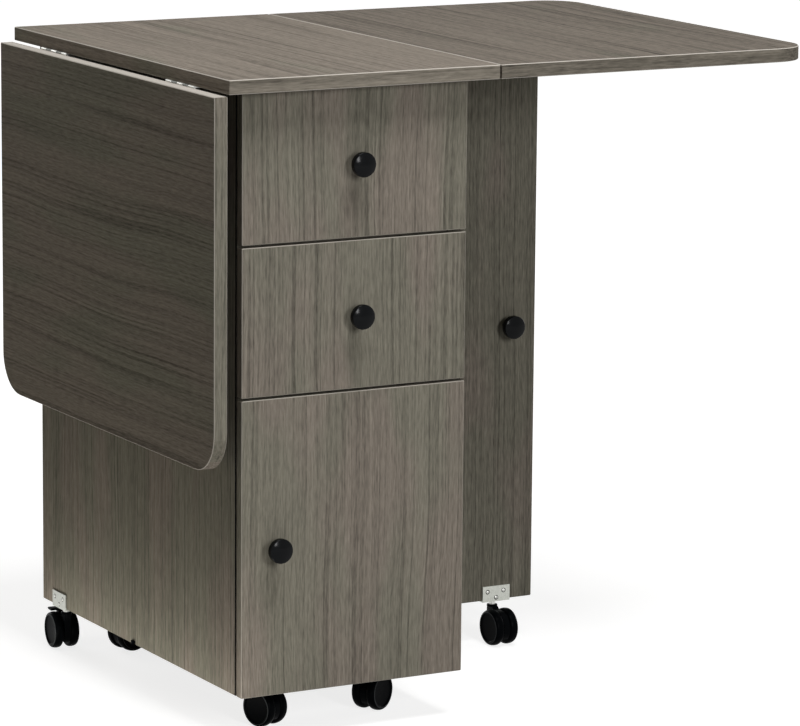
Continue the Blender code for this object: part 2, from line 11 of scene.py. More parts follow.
import bmesh
import bpy
from mathutils import Matrix, Vector


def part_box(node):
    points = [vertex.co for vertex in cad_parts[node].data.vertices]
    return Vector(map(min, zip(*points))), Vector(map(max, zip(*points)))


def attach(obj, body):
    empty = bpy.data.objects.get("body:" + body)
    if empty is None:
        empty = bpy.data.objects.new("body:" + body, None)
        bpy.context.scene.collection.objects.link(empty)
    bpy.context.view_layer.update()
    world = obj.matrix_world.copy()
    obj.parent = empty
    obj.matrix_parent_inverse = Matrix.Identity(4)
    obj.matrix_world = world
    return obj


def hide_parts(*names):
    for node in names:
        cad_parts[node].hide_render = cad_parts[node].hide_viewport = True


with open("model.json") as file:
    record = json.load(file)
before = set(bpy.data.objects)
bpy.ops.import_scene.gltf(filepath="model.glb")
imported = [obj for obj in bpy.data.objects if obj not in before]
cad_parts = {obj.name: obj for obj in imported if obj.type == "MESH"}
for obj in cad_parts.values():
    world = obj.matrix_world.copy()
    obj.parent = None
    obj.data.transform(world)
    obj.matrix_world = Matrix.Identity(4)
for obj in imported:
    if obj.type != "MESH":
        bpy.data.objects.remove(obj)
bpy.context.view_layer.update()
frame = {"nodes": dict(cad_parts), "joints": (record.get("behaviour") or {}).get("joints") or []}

MM = 0.001
X, Y, Z = range(3)
FORWARD = (0, -1, 0)
LEFTWARD = (-1, 0, 0)
RIGHTWARD = (1, 0, 0)
DOWNWARD = (0, 0, -1)

# The photograph's frame and the camera that was fitted to it
IMAGE_WIDTH = 800
IMAGE_HEIGHT = 726
SENSOR = 36.0
FOCAL_PIXELS = 4475.4
CENTRE_PIXELS = (406.5, 350.6)
EYE = Vector((-2.5162, -4.5645, 1.3457))
YAW = math.radians(28.95)
PITCH = math.radians(10.53)
ROLL = math.radians(0.51)
CLIP_END = 60.0

# How finely the forms are made
BEND_STEPS = 5
CURVE_STEPS = 8
DOME_STEPS = 8
HOOD_STEPS = 24
NOSE_STEPS = 6
TURN_STEPS = 72
COLLAR_STEPS = 48
COUNTERSINK_STEPS = 36
PIN_STEPS = 32
SCREW_STEPS = 28
EDGE_SEGMENTS = 3
ROUND_EDGE = 0.5
SHARP_ANGLE = math.radians(38)
ON_AXIS = 1e-7

# Knobs. Corners are in millimetres: radius, height, and how far from the corner its bend starts
KNOB_REACH = 23.5 * MM
KNOB_CORNERS = (
    (0, 0, 0),
    (5.6, 0, 0.4),  # foot
    (5.6, 1.4, 0.6),
    (4.8, 3.2, 1.2),  # neck
    (4.7, 10.8, 2.4),
    (8.8, 12.9, 2.0),  # underside of the head
    (14, 13.7, 1.4),  # rim of the head
    (14, 20.6, 1.2),
)
DOME_EDGE = 13 * MM
DOME_RISE = 2.3 * MM
DOME_BEND = 0.5 * MM

# The body that carries each knob, and the way the knob points
KNOBS = {
    "upper_drawer_knob": ("upper_drawer", FORWARD),
    "lower_drawer_knob": ("lower_drawer", FORWARD),
    "door_knob": ("door", FORWARD),
    "right_gate_knob": ("right_gate", FORWARD),
    "left_gate_knob": ("left_gate", LEFTWARD),
}

# Castor wheels. Corners as above, with heights out from the middle between the two wheels
WHEEL_RADIUS = 22 * MM
WHEEL_CORNERS = (
    (0, 14.1, 0),
    (16.8, 14.1, 0.5),  # sunk face
    (17.4, 15.5, 0.4),  # raised rim
    (18.5, 15.5, 0.4),
    (20.6, 14.9, 0.9),  # outer shoulder
    (21.6, 13.0, 0.9),
    (22.0, 10.4, 1.0),  # tread
    (22.0, 7.6, 1.0),
    (21.2, 5.3, 0.8),  # inner shoulder
    (19.4, 4.5, 0.6),
    (8.0, 4.5, 0.3),  # recess round the axle
    (8.0, 5.4, 0.2),
    (3.0, 5.4, 0),
)

# Castor hoods, with their necks and stems. Turns are in degrees round the axle, up from the front
TRAIL = 16 * MM
AXLE_RADIUS = 3 * MM
AXLE_PLAY = 0.35 * MM
BORE_REACH = 20 * MM
HOOD_HALF = 4.1 * MM
HOOD_RADIUS = 20 * MM
HOOD_CLEARANCE = 9 * MM
HOOD_EDGE = 1.1 * MM
CROWN_TURN = 100
NOSE_TURN = -20
NECK_RADIUS = 6.5 * MM
NECK_LOW = 44.4 * MM
NECK_TOP = 47.2 * MM
NECK_LOW_BEND = 0.5 * MM
NECK_TOP_BEND = 1.2 * MM
FRONT_SHARE = 0.9
FRONT_BEND_HEIGHT = 24 * MM
FRONT_WALL_LOW = 36 * MM
REAR_BEND_HEIGHT = 42 * MM
STEM_RADIUS = 4 * MM
STEM_TOP = 65.5 * MM
STEM_BEND = 0.8 * MM

# The brake on the left gate's castor. Corners are in millimetres: forward, up, and the bend's start
BRAKE_REACH = 12.9 * MM
BRAKE_EDGE = 0.8 * MM
PEDAL_CORNERS = ((-17.3, 45, 0.9), (-17.3, 47.5, 0.9), (-30.2, 47.5, 0.9), (-30.2, 45, 0.9))
POST_CORNERS = ((-16.4, 37, 0), (-17.8, 46.5, 0.6), (-23.8, 46.5, 0.6), (-25.4, 37, 0))

# Screw heads, with shares of the head's radius and rise, and the turns of their recesses in radians
SCREW_RISE = 0.7 * MM
SCREW_WALL = 0.3
SCREW_WALL_BEND = 0.2
SCREW_CROWN_RADIUS = 0.55
SCREW_CROWN_HEIGHT = 0.92
SCREW_CROWN_BEND = 0.3
RECESS_LENGTH = 1.1
RECESS_WIDTH = 0.26
RECESS_DEPTH = 1.2
FIRST_TWIST = 0.5
TWIST_STEP = 1.3

# Screws in a hinge's plate: share of the hinge's length, and distance from the plate's free edge
HINGE_SCREW_RADIUS = 2.9 * MM
HINGE_SCREWS = ((0.17, 13 * MM), (0.5, 9 * MM), (0.83, 13 * MM))
HINGE_HALF_PLATE = 0.5 * MM

# Screws in a castor bracket: shares of its width and height. Countersinks, thin dark rings of painted shade:
# radius and height in millimetres
BRACKET_SCREW_RADIUS = 1.9 * MM
BRACKET_SCREWS = ((0.18, 0.64), (0.77, 0.66), (0.5, 0.25))
COUNTERSINK_CORNERS = ((0, 0), (2.9, 0), (2.7, 0.12), (1.7, 0.2), (0, 0.2))

# Linear colours
GREY_GREEN = (0.158, 0.148, 0.119)
PINK_BROWN = (0.177, 0.154, 0.129)
# Painted highlight: the pale colour that bevels and the hanging leaf's hinge edge are mixed toward
ARRIS_HIGHLIGHT = (0.6, 0.56, 0.51)
BLACK = (0.0016, 0.002, 0.0025)
ZINC = (0.66, 0.66, 0.63)
DULL_ZINC = (0.46, 0.47, 0.43)
# Painted highlight: the paler ring on a wheel's rim
RIM_HIGHLIGHT = (0.045, 0.048, 0.05)
WHITE = (1.0, 1.0, 1.0)
CREAM = (1.0, 0.98, 0.92)
WARM = (1.0, 0.91, 0.64)

# The laminate's noise, in waves per metre along and across the grain. The seed sets each layer apart
Layer = namedtuple("Layer", "along across detail roughness seed")
DRIFT = Layer(3.2, 6.0, 1.0, 0.4, 8.0)  # sideways wander of the grain
PATCHES = Layer(4.0, 15.0, 1.0, 0.5, 1.0)  # pink-brown on grey-green
BANDS = Layer(1.8, 48.0, 2.0, 0.5, 2.0)  # broad dark bands
RINGS = Layer(1.0, 290.0, 0.0, 0.5, 3.0)  # long dark lines
STRENGTH = Layer(4.0, 60.0, 2.0, 0.5, 6.0)  # how dark the lines are
THREADS = Layer(2.4, 380.0, 0.0, 0.6, 7.0)  # long fine threads
FIBRE = Layer(60.0, 600.0, 2.0, 0.65, 4.0)  # short fine fibre
BOARD_SHIFT = (3.7, 1.9, 0.0)
SEED_SHIFT = (1.0, 5.3, 2.3)

# Where the laminate's layers start and end to show, and how much each one counts
WAVER = 18 * MM
RING_RANGE = (0.56, 0.68)
STRENGTH_RANGE = (0.3, 0.65, 0.5, 1.0)
BAND_RANGE = (0.5, 0.72)
PINK_START = 0.6
PINK_END = 0.8
EDGE_WARMTH = 0.6
FIBRE_CONTRAST = 1.3
THREAD_CONTRAST = 0.5
THREAD_LEVEL = 0.225
LINE_DEPTH = 0.6

# Which way a surface looks on the ends of the grain, the hinge edge, the bevels and the faces of a board
END_FACING = 0.7
HINGE_EDGE_FACING = 0.9
BEVEL_FACING = (0.58, 0.36)
FACE_FACING = 0.5

# Painted shade: a dark line along the outer sides' front edges, standing in for the shadow in the gap behind
# the fronts
GAP_SHADE_WIDTH = 1.8 * MM

# Roughness and sheen of the laminate, and the strength and depth of each material's bump
BOARD_ROUGHNESS = 0.5
BOARD_ROUGHNESS_SPREAD = 0.16
BOARD_SHEEN = 0.004
BOARD_BUMP = (0.3, 0.15 * MM)
PLASTIC_BUMP = (0.12, 0.05 * MM)
PLATE_BUMP = (0.1, 0.02 * MM)

# Black plastic: its mottle and fine texture, and a painted highlight ring on a wheel's outer shoulders
Noise = namedtuple("Noise", "detail roughness scale")
MOTTLE = Noise(3.0, 0.6, 90.0)
TEXTURE = Noise(2.0, 0.6, 2600.0)
MOTTLE_SHADE = 0.6
MOTTLE_ROUGHNESS = 0.16
RIM_HIGHLIGHT_RADIUS = 18.9 * MM
RIM_HIGHLIGHT_HALF = 0.6 * MM
RIM_HIGHLIGHT_HEIGHT = 14.5 * MM

# Zinc plate: its spangle and its scratches, which are stretched along X
SPANGLE_SCALE = 700.0
SPANGLE_SHADE = 0.14
SCRATCH_STRETCH = (200.0, 4000.0, 4000.0)
SCRATCH = Noise(3.0, 0.6, 1.0)
SCRATCH_SHADE = 0.12
SCRATCH_ROUGHNESS = 0.2

# Boards: the axis of the grain and the axis of the thickness
DRAWER_BOARDS = {
    "front": (Z, Y),
    "left_side": (Y, X),
    "right_side": (Y, X),
    "back": (X, Y),
    "floor": (Y, Z),
}
BOARDS = {
    "centre_top": (Y, Z),
    "left_leaf": (Y, X),
    "right_leaf": (Y, Z),
    "left_inner_side": (Z, X),
    "right_inner_side": (Z, X),
    "left_outer_side": (Z, X),
    "right_outer_side": (Z, X),
    "left_gate": (Z, X),
    "right_gate": (Z, Y),
    "base_panel": (Y, Z),
    "drawer_panel": (Y, Z),
    "cupboard_roof": (Y, Z),
    "back_panel": (Z, Y),
    "cupboard_door": (Z, Y),
    **{f"upper_drawer_{board}": axes for board, axes in DRAWER_BOARDS.items()},
    **{f"lower_drawer_{board}": axes for board, axes in DRAWER_BOARDS.items()},
}

# A board's share of pink-brown, its brightness, the strength of its bands and lines, and of the painted
# highlight on its bevels and hinge edge
Tone = namedtuple("Tone", "warmth brightness banding lining arrises hinge_edge")

# The top's boards are warmer and more banded than the cabinet's, and the side boards' bevels get less painted
# highlight
PLAIN = Tone(warmth=0.18, brightness=1.11, banding=0.02, lining=0.32, arrises=0.34, hinge_edge=0.0)
SIDE = Tone(warmth=0.16, brightness=1.1, banding=0.08, lining=0.32, arrises=0.06, hinge_edge=0.0)
TONES = {
    "centre_top": PLAIN._replace(warmth=0.36, brightness=1.15, banding=0.3, arrises=0.72),
    "right_leaf": PLAIN._replace(warmth=0.42, brightness=0.9, banding=0.3, lining=0.3, arrises=0.72),
    "left_leaf": Tone(warmth=0.22, brightness=1.08, banding=0.12, lining=0.28, arrises=0.5, hinge_edge=0.7),
    "left_inner_side": SIDE,
    "right_inner_side": SIDE,
    "left_outer_side": SIDE,
    "right_outer_side": SIDE,
    "left_gate": SIDE,
    # The right gate is darker: painted shade for the shadow under the right leaf
    "right_gate": SIDE._replace(warmth=0.1, brightness=0.99),
}

# The studio: its dim ambient light, the floor, and the lamps
AMBIENT = 0.045
FLOOR_RADIUS = 14.0
FLOOR_SIDES = 96
FLOOR_DROP = 0.2 * MM
FLOOR_SHADE = 0.4
FLOOR_ROUGHNESS = 0.9
FLOOR_GLOW = 0.79
FLOOR_FADE = (0.7, 4.0)
TABLE_MIDDLE = (-0.1, 0.0, 0.45)
Lamp = namedtuple("Lamp", "name spot target size colour power")
LAMPS = (
    Lamp("front", (-0.2, -4.2, 1.6), TABLE_MIDDLE, (0.6, 1.3), WHITE, 72.0),
    Lamp("key", (-0.1, -1.5, 3.9), TABLE_MIDDLE, (1.6, 1.2), WHITE, 112.0),
    Lamp("overhead", (-0.9, 0.2, 3.4), TABLE_MIDDLE, (1.8, 1.8), WHITE, 13.0),
    Lamp("left_bounce", (-1.3, 0.05, 0.05), (-0.39, 0.0, 0.45), (0.4, 1.0), WARM, 1.2),
    Lamp("left_card", (-0.4, -0.1, 0.002), (-0.4, -0.1, 1.0), (0.06, 0.8), CREAM, 0.74),
    Lamp("back_fill", (-0.6, 4.2, 1.0), TABLE_MIDDLE, (1.6, 1.2), WHITE, 60.0),
    Lamp("right_fill", (4.2, 0.4, 0.9), TABLE_MIDDLE, (1.6, 1.2), WHITE, 40.0),
)


def add(tree, kind, inputs=None, **settings):
    """Adds a shader node. An input is a value or another node's output."""
    made = tree.nodes.new("ShaderNode" + kind)
    for key, value in settings.items():
        setattr(made, key, value)
    for key, value in (inputs or {}).items():
        if isinstance(value, bpy.types.NodeSocket):
            tree.links.new(value, made.inputs[key])
        else:
            made.inputs[key].default_value = value
    return made


def maths(tree, operation, *values):
    return add(tree, "Math", dict(enumerate(values)), operation=operation).outputs[0]


def ramp(tree, value, start, end, low=0.0, high=1.0):
    """A smooth step: low before start, high after end."""
    inputs = {"Value": value, "From Min": start, "From Max": end, "To Min": low, "To Max": high}
    return add(tree, "MapRange", inputs, interpolation_type="SMOOTHSTEP").outputs["Result"]


def mix_values(tree, share, first, second):
    return add(tree, "Mix", {0: share, 2: first, 3: second}, data_type="FLOAT").outputs[0]


def mix_colours(tree, share, first, second):
    def full(colour):
        return colour if isinstance(colour, bpy.types.NodeSocket) else (*colour, 1.0)

    return add(tree, "Mix", {0: share, 6: full(first), 7: full(second)}, data_type="RGBA").outputs[2]


def scaled(tree, colour, factor):
    return add(tree, "VectorMath", {0: colour, "Scale": factor}, operation="SCALE").outputs[0]


def length(tree, vector):
    return add(tree, "VectorMath", {0: vector}, operation="LENGTH").outputs["Value"]


def noise(tree, vector, detail, roughness, scale=1.0):
    inputs = {"Vector": vector, "Scale": scale, "Detail": detail, "Roughness": roughness}
    return add(tree, "TexNoise", inputs).outputs["Fac"]


def new_look(name):
    look = bpy.data.materials.new(name)
    look.use_nodes = True
    tree = look.node_tree
    return look, tree, tree.nodes["Principled BSDF"]


def cover(tree, surface, colour, roughness, height, bump):
    """Gives a surface its colour, its roughness and a bump of a strength and depth."""
    strength, depth = bump
    relief = add(tree, "Bump", {"Height": height, "Strength": strength, "Distance": depth})
    tree.links.new(colour, surface.inputs["Base Color"])
    tree.links.new(roughness, surface.inputs["Roughness"])
    tree.links.new(relief.outputs["Normal"], surface.inputs["Normal"])


def laminate(name, grain, thin, number, tone, gap_shade_end=None):
    """Wood-grain laminate on a board whose grain runs along one axis and whose thickness lies along another.

    On the ends of the grain the pattern turns to run along the edge, as on a glued edge band. The small
    bevels between face and edge, and a hinge edge where the tone asks for one, are mixed pale: painted
    highlight.
    Before the given place across the grain, the faces are painted dark: painted shade of the gap behind the
    fronts.
    """
    look, tree, surface = new_look(name)
    place = add(tree, "TexCoord").outputs
    where = add(tree, "SeparateXYZ", {0: place["Object"]}).outputs
    facing = add(tree, "SeparateXYZ", {0: place["Normal"]}).outputs
    side = X + Y + Z - grain - thin
    broad = maths(tree, "ABSOLUTE", facing[thin])
    end = maths(tree, "GREATER_THAN", maths(tree, "ABSOLUTE", facing[grain]), END_FACING)
    along = mix_values(tree, end, where[grain], where[side])
    across = mix_values(tree, end, where[side], where[grain])

    def streaks(layer, over):
        """Noise drawn out along the grain, a different stretch of it on each board."""
        scales = (layer.along, layer.across, layer.across)
        parts = {}
        for axis, value in enumerate((along, over, where[thin])):
            start = BOARD_SHIFT[axis] * number + SEED_SHIFT[axis] * layer.seed
            parts[axis] = maths(tree, "MULTIPLY_ADD", value, scales[axis], start)
        vector = add(tree, "CombineXYZ", parts).outputs[0]
        return noise(tree, vector, layer.detail, layer.roughness)

    wavy = maths(tree, "MULTIPLY_ADD", streaks(DRIFT, across), WAVER, across)
    threads = streaks(THREADS, wavy)
    fibre = streaks(FIBRE, wavy)
    bands = ramp(tree, streaks(BANDS, wavy), *BAND_RANGE)
    lines = ramp(tree, streaks(RINGS, wavy), *RING_RANGE)
    lines = maths(tree, "MULTIPLY", lines, ramp(tree, streaks(STRENGTH, wavy), *STRENGTH_RANGE))
    pink = ramp(tree, streaks(PATCHES, wavy), PINK_START - tone.warmth, PINK_END - tone.warmth)
    pink = maths(tree, "MULTIPLY", pink, ramp(tree, end, 0.0, 1.0, 1.0, EDGE_WARMTH))
    value = maths(tree, "MULTIPLY_ADD", fibre, FIBRE_CONTRAST, tone.brightness - FIBRE_CONTRAST / 2)
    value = maths(tree, "SUBTRACT", value, THREAD_LEVEL)
    value = maths(tree, "MULTIPLY_ADD", threads, THREAD_CONTRAST, value)
    value = maths(tree, "MULTIPLY_ADD", bands, -tone.banding, value)
    value = maths(tree, "MULTIPLY_ADD", lines, -tone.lining, value)
    colour = scaled(tree, mix_colours(tree, pink, GREY_GREEN, PINK_BROWN), value)
    # Painted highlight: the small bevels are mixed toward a pale colour, as if they caught the light
    bevel = maths(tree, "COMPARE", broad, *BEVEL_FACING)
    colour = mix_colours(tree, maths(tree, "MULTIPLY", bevel, tone.arrises), colour, ARRIS_HIGHLIGHT)
    # Painted highlight on the hinge edge, which looks up on the hanging leaf
    if tone.hinge_edge:
        edge = maths(tree, "GREATER_THAN", facing[side], HINGE_EDGE_FACING)
        colour = mix_colours(tree, maths(tree, "MULTIPLY", edge, tone.hinge_edge), colour, ARRIS_HIGHLIGHT)
    # Painted shade: a dark line on the faces near the front edge, for the shadow in the gap behind the fronts
    if gap_shade_end is not None:
        in_gap_shade = maths(tree, "LESS_THAN", where[side], gap_shade_end)
        face = maths(tree, "GREATER_THAN", broad, FACE_FACING)
        colour = mix_colours(tree, maths(tree, "MULTIPLY", in_gap_shade, face), colour, BLACK)
    roughness = maths(tree, "MULTIPLY_ADD", fibre, BOARD_ROUGHNESS_SPREAD, BOARD_ROUGHNESS)
    height = maths(tree, "MULTIPLY_ADD", lines, -LINE_DEPTH, threads)
    cover(tree, surface, colour, roughness, height, BOARD_BUMP)
    surface.inputs["Specular IOR Level"].default_value = BOARD_SHEEN
    return look


def moulded(name, roughness, sheen, rim_highlight=False):
    """Black moulded plastic with a fine texture. A wheel can get a paler ring on its outer shoulders: a
    painted highlight of its rim.
    """
    look, tree, surface = new_look(name)
    place = add(tree, "TexCoord").outputs["Object"]
    mottle = noise(tree, place, *MOTTLE)
    texture = noise(tree, place, *TEXTURE)
    colour = scaled(tree, BLACK, maths(tree, "MULTIPLY_ADD", mottle, MOTTLE_SHADE, 1 - MOTTLE_SHADE / 2))
    # Painted highlight: a paler ring on the rim of the wheel's outer faces
    if rim_highlight:
        where = add(tree, "SeparateXYZ", {0: place}).outputs
        radius = length(tree, add(tree, "CombineXYZ", {X: where[X], Y: where[Y]}).outputs[0])
        ring = maths(tree, "COMPARE", radius, RIM_HIGHLIGHT_RADIUS, RIM_HIGHLIGHT_HALF)
        outside = maths(tree, "GREATER_THAN", maths(tree, "ABSOLUTE", where[Z]), RIM_HIGHLIGHT_HEIGHT)
        colour = mix_colours(tree, maths(tree, "MULTIPLY", ring, outside), colour, RIM_HIGHLIGHT)
    mottled = maths(tree, "MULTIPLY_ADD", mottle, MOTTLE_ROUGHNESS, roughness - MOTTLE_ROUGHNESS / 2)
    cover(tree, surface, colour, mottled, texture, PLASTIC_BUMP)
    surface.inputs["Specular IOR Level"].default_value = sheen
    return look


def plated(name, metal, brightness, roughness):
    """Zinc-plated steel with a faint spangle and fine scratches."""
    look, tree, surface = new_look(name)
    place = add(tree, "TexCoord").outputs["Object"]
    cells = add(tree, "TexVoronoi", {"Vector": place, "Scale": SPANGLE_SCALE}).outputs["Color"]
    spangle = add(tree, "SeparateXYZ", {0: cells}).outputs[0]
    stretched = add(tree, "Mapping", {"Vector": place, "Scale": SCRATCH_STRETCH}).outputs[0]
    scratch = noise(tree, stretched, *SCRATCH)
    value = maths(tree, "MULTIPLY_ADD", spangle, SPANGLE_SHADE, brightness - SPANGLE_SHADE)
    value = maths(tree, "MULTIPLY_ADD", scratch, SCRATCH_SHADE, value)
    scratched = maths(tree, "MULTIPLY_ADD", scratch, SCRATCH_ROUGHNESS, roughness - SCRATCH_ROUGHNESS / 2)
    cover(tree, surface, scaled(tree, metal, value), scratched, scratch, PLATE_BUMP)
    surface.inputs["Metallic"].default_value = 1.0
    return look


def metres(rows):
    """Rows of sizes in millimetres as rows in metres."""
    return [tuple(size * MM for size in row) for row in rows]


def curve(start, control, end, steps):
    """Points on a smooth bend from start towards end, without the end itself."""
    shares = [step / steps for step in range(steps)]
    return [start * (1 - t) ** 2 + control * 2 * t * (1 - t) + end * t**2 for t in shares]


def rounded(corners, closed=False):
    """The path through corners of (across, up, bend), each with a curve that starts its bend away from it."""
    points = [Vector(corner[:2]) for corner in corners]
    count = len(points)
    path = []
    for index, point in enumerate(points):
        bend = corners[index][2]
        at_end = not closed and index in (0, count - 1)
        if at_end or bend <= 0:
            path.append(point)
            continue
        before = points[index - 1] - point
        after = points[(index + 1) % count] - point
        start = point + before.normalized() * min(bend, before.length / 2)
        end = point + after.normalized() * min(bend, after.length / 2)
        path += [*curve(start, point, end, BEND_STEPS), end]
    return path


def lathe(profile, steps=TURN_STEPS):
    """A form turned about Z from (radius, height) points that start and end on the axis."""
    bm = bmesh.new()
    rings = []
    for radius, height in profile:
        if radius < ON_AXIS:
            rings.append([bm.verts.new((0, 0, height))] * steps)
            continue
        ring = []
        for step in range(steps):
            angle = 2 * math.pi * step / steps
            ring.append(bm.verts.new((radius * math.cos(angle), radius * math.sin(angle), height)))
        rings.append(ring)
    for lower, upper in zip(rings, rings[1:]):
        for step in range(steps):
            after = (step + 1) % steps
            corners = [lower[step], lower[after], upper[after], upper[step]]
            unique = list(dict.fromkeys(corners))
            if len(unique) > 2:
                bm.faces.new(unique)
    return bm


def turned_pin(radius, low, high, low_bend, high_bend, steps):
    """A round pin about Z with rounded rims."""
    corners = [(0, low, 0), (radius, low, low_bend), (radius, high, high_bend), (0, high, 0)]
    return lathe(rounded(corners), steps)


def slab(outline, half, rounding):
    """A flat form: an outline in the YZ plane, as thick as twice half along X, with rounded edges."""
    bm = bmesh.new()
    base = [bm.verts.new((-half, y, z)) for y, z in outline]
    top = [bm.verts.new((half, y, z)) for y, z in outline]
    caps = [bm.faces.new(base[::-1]), bm.faces.new(top)]
    count = len(outline)
    for index in range(count):
        after = (index + 1) % count
        bm.faces.new((base[index], base[after], top[after], top[index]))
    bmesh.ops.bevel(
        bm,
        geom=[edge for cap in caps for edge in cap.edges],
        offset=rounding,
        segments=EDGE_SEGMENTS,
        profile=ROUND_EDGE,
        affect="EDGES",
        clamp_overlap=True,
    )
    bmesh.ops.recalc_face_normals(bm, faces=bm.faces)
    return bm


def finished_mesh(name, bm):
    """The mesh of a closed form, smooth except at its sharp edges."""
    bmesh.ops.recalc_face_normals(bm, faces=bm.faces)
    mesh = bpy.data.meshes.new(name)
    bm.to_mesh(mesh)
    bm.free()
    mesh.polygons.foreach_set("use_smooth", [True] * len(mesh.polygons))
    mesh.set_sharp_from_angle(angle=SHARP_ANGLE)
    return mesh


def combined(name, base, joined=(), cut=()):
    """One closed mesh made of the base form, the forms joined to it and the forms cut from it."""
    scratch = []

    def held(bm):
        bmesh.ops.recalc_face_normals(bm, faces=bm.faces)
        mesh = bpy.data.meshes.new("scratch")
        bm.to_mesh(mesh)
        bm.free()
        obj = bpy.data.objects.new("scratch", mesh)
        bpy.context.scene.collection.objects.link(obj)
        scratch.append(obj)
        return obj

    main = held(base)
    for operation, forms in (("UNION", joined), ("DIFFERENCE", cut)):
        for bm in forms:
            tool = main.modifiers.new(operation, "BOOLEAN")
            tool.operation = operation
            tool.solver = "EXACT"
            tool.object = held(bm)
    bpy.context.view_layer.update()
    graph = bpy.context.evaluated_depsgraph_get()
    result = bmesh.new()
    result.from_mesh(main.evaluated_get(graph).data)
    for obj in scratch:
        mesh = obj.data
        bpy.data.objects.remove(obj)
        bpy.data.meshes.remove(mesh)
    return finished_mesh(name, result)


def copies(name, form, places):
    """One mesh with a copy of the form at each place. The form itself is used up."""
    group = bmesh.new()
    for place in places:
        single = bmesh.new()
        single.from_mesh(form)
        bmesh.ops.transform(single, matrix=place, verts=single.verts)
        copy = bpy.data.meshes.new("copy")
        single.to_mesh(copy)
        single.free()
        group.from_mesh(copy)
        bpy.data.meshes.remove(copy)
    bpy.data.meshes.remove(form)
    return finished_mesh(name, group)


def seat(point, outward):
    """The place of a form that stands on a point, with its Z axis turned outward."""
    turn = Vector((0, 0, 1)).rotation_difference(Vector(outward))
    return Matrix.Translation(point) @ turn.to_matrix().to_4x4()


def middle(node):
    low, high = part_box(node)
    return (low + high) / 2


def dress(obj, look):
    obj.data.materials.clear()
    obj.data.materials.append(look)


def piece(name, mesh, look, body, matrix=None, replaces=()):
    """Puts a mesh in the scene as a piece of the table that rides on a body."""
    obj = bpy.data.objects.new(name, mesh)
    bpy.context.scene.collection.objects.link(obj)
    mesh.materials.append(look)
    if matrix is not None:
        obj.matrix_world = matrix
    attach(obj, body)
    if replaces:
        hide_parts(*replaces)


def dress_boards():
    for number, (node, (grain, thin)) in enumerate(BOARDS.items()):
        tone = TONES.get(node, PLAIN)
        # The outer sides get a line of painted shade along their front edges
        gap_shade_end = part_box(node)[0].y + GAP_SHADE_WIDTH if "outer_side" in node else None
        dress(frame["nodes"][node], laminate(f"laminate_{node}", grain, thin, number, tone, gap_shade_end))


def dress_fittings(bright, hinge_shade, dull, dark):
    """Hinges, brackets and pivots keep their solids. Where two words fit a name, the later one counts."""
    # The hinges' leaf halves get a darker plate than the top halves: painted shade between the knuckles
    finishes = {"hinge": bright, "hinge_leaf_half": hinge_shade, "bracket": dull, "pivot": dark}
    for node, obj in frame["nodes"].items():
        for word, finish in finishes.items():
            if word in node:
                dress(obj, finish)


def knob_path():
    """A knob's outline: a slim neck, and a thick head with a soft rim and a domed face."""
    corners = metres(KNOB_CORNERS)
    ball = (DOME_EDGE**2 + DOME_RISE**2) / (2 * DOME_RISE)
    for step in range(DOME_STEPS + 1):
        out = DOME_EDGE * (1 - step / DOME_STEPS)
        height = KNOB_REACH - ball + math.sqrt(ball**2 - out**2)
        corners.append((out, height, DOME_BEND if step == 0 else 0))
    return rounded(corners)


def make_knobs(plastic):
    path = knob_path()
    for node, (body, outward) in KNOBS.items():
        name = f"{node}_turned"
        foot = middle(node) - Vector(outward) * KNOB_REACH / 2
        piece(name, finished_mesh(name, lathe(path)), plastic, body, seat(foot, outward), [node])


def wheel_path():
    """Outline of both wheels and the axle: crowned treads, a fine raised rim and a plain sunk face."""
    half = rounded(metres(WHEEL_CORNERS))
    return half + [Vector((radius, -height)) for radius, height in reversed(half)]


def hood_outline():
    """The hood's side view: a disc round the axle, cut flat above the floor, that flows up into the neck."""
    centre = Vector((-TRAIL, WHEEL_RADIUS))
    front = NECK_RADIUS * FRONT_SHARE
    neck = (NECK_LOW + NECK_TOP) / 2
    dip = math.degrees(math.asin((WHEEL_RADIUS - HOOD_CLEARANCE) / HOOD_RADIUS))

    def arc(first, last, steps):
        turns = [math.radians(first + (last - first) * step / steps) for step in range(steps + 1)]
        return [centre + Vector((math.cos(turn), math.sin(turn))) * HOOD_RADIUS for turn in turns]

    rear = arc(CROWN_TURN, 180 + dip, HOOD_STEPS)
    nose = arc(-dip, NOSE_TURN, NOSE_STEPS)
    wall = Vector((front, FRONT_WALL_LOW))
    rise = curve(nose[-1], Vector((front, FRONT_BEND_HEIGHT)), wall, CURVE_STEPS)
    back = Vector((-NECK_RADIUS, NECK_LOW))
    fall = curve(back, Vector((-NECK_RADIUS, REAR_BEND_HEIGHT)), rear[0], CURVE_STEPS)
    top = [wall, Vector((front, neck)), Vector((-NECK_RADIUS, neck))]
    return rear + nose[:-1] + rise + top + fall


def brake_forms():
    """A pedal over one wheel on the trailing side, and the post that carries it on the hood."""
    inner = -HOOD_HALF / 2
    forms = []
    for corners, outer in ((PEDAL_CORNERS, BRAKE_REACH), (POST_CORNERS, HOOD_HALF)):
        form = slab(rounded(metres(corners), closed=True), (outer - inner) / 2, BRAKE_EDGE)
        bmesh.ops.translate(form, vec=((inner + outer) / 2, 0, 0), verts=form.verts)
        forms.append(form)
    return forms


def axle_bore(place):
    """The round hole that a hood has for the axle."""
    radius = AXLE_RADIUS + AXLE_PLAY
    profile = [(0, -BORE_REACH), (radius, -BORE_REACH), (radius, BORE_REACH), (0, BORE_REACH)]
    bore = lathe(profile, PIN_STEPS)
    bmesh.ops.transform(bore, matrix=place, verts=bore.verts)
    return bore


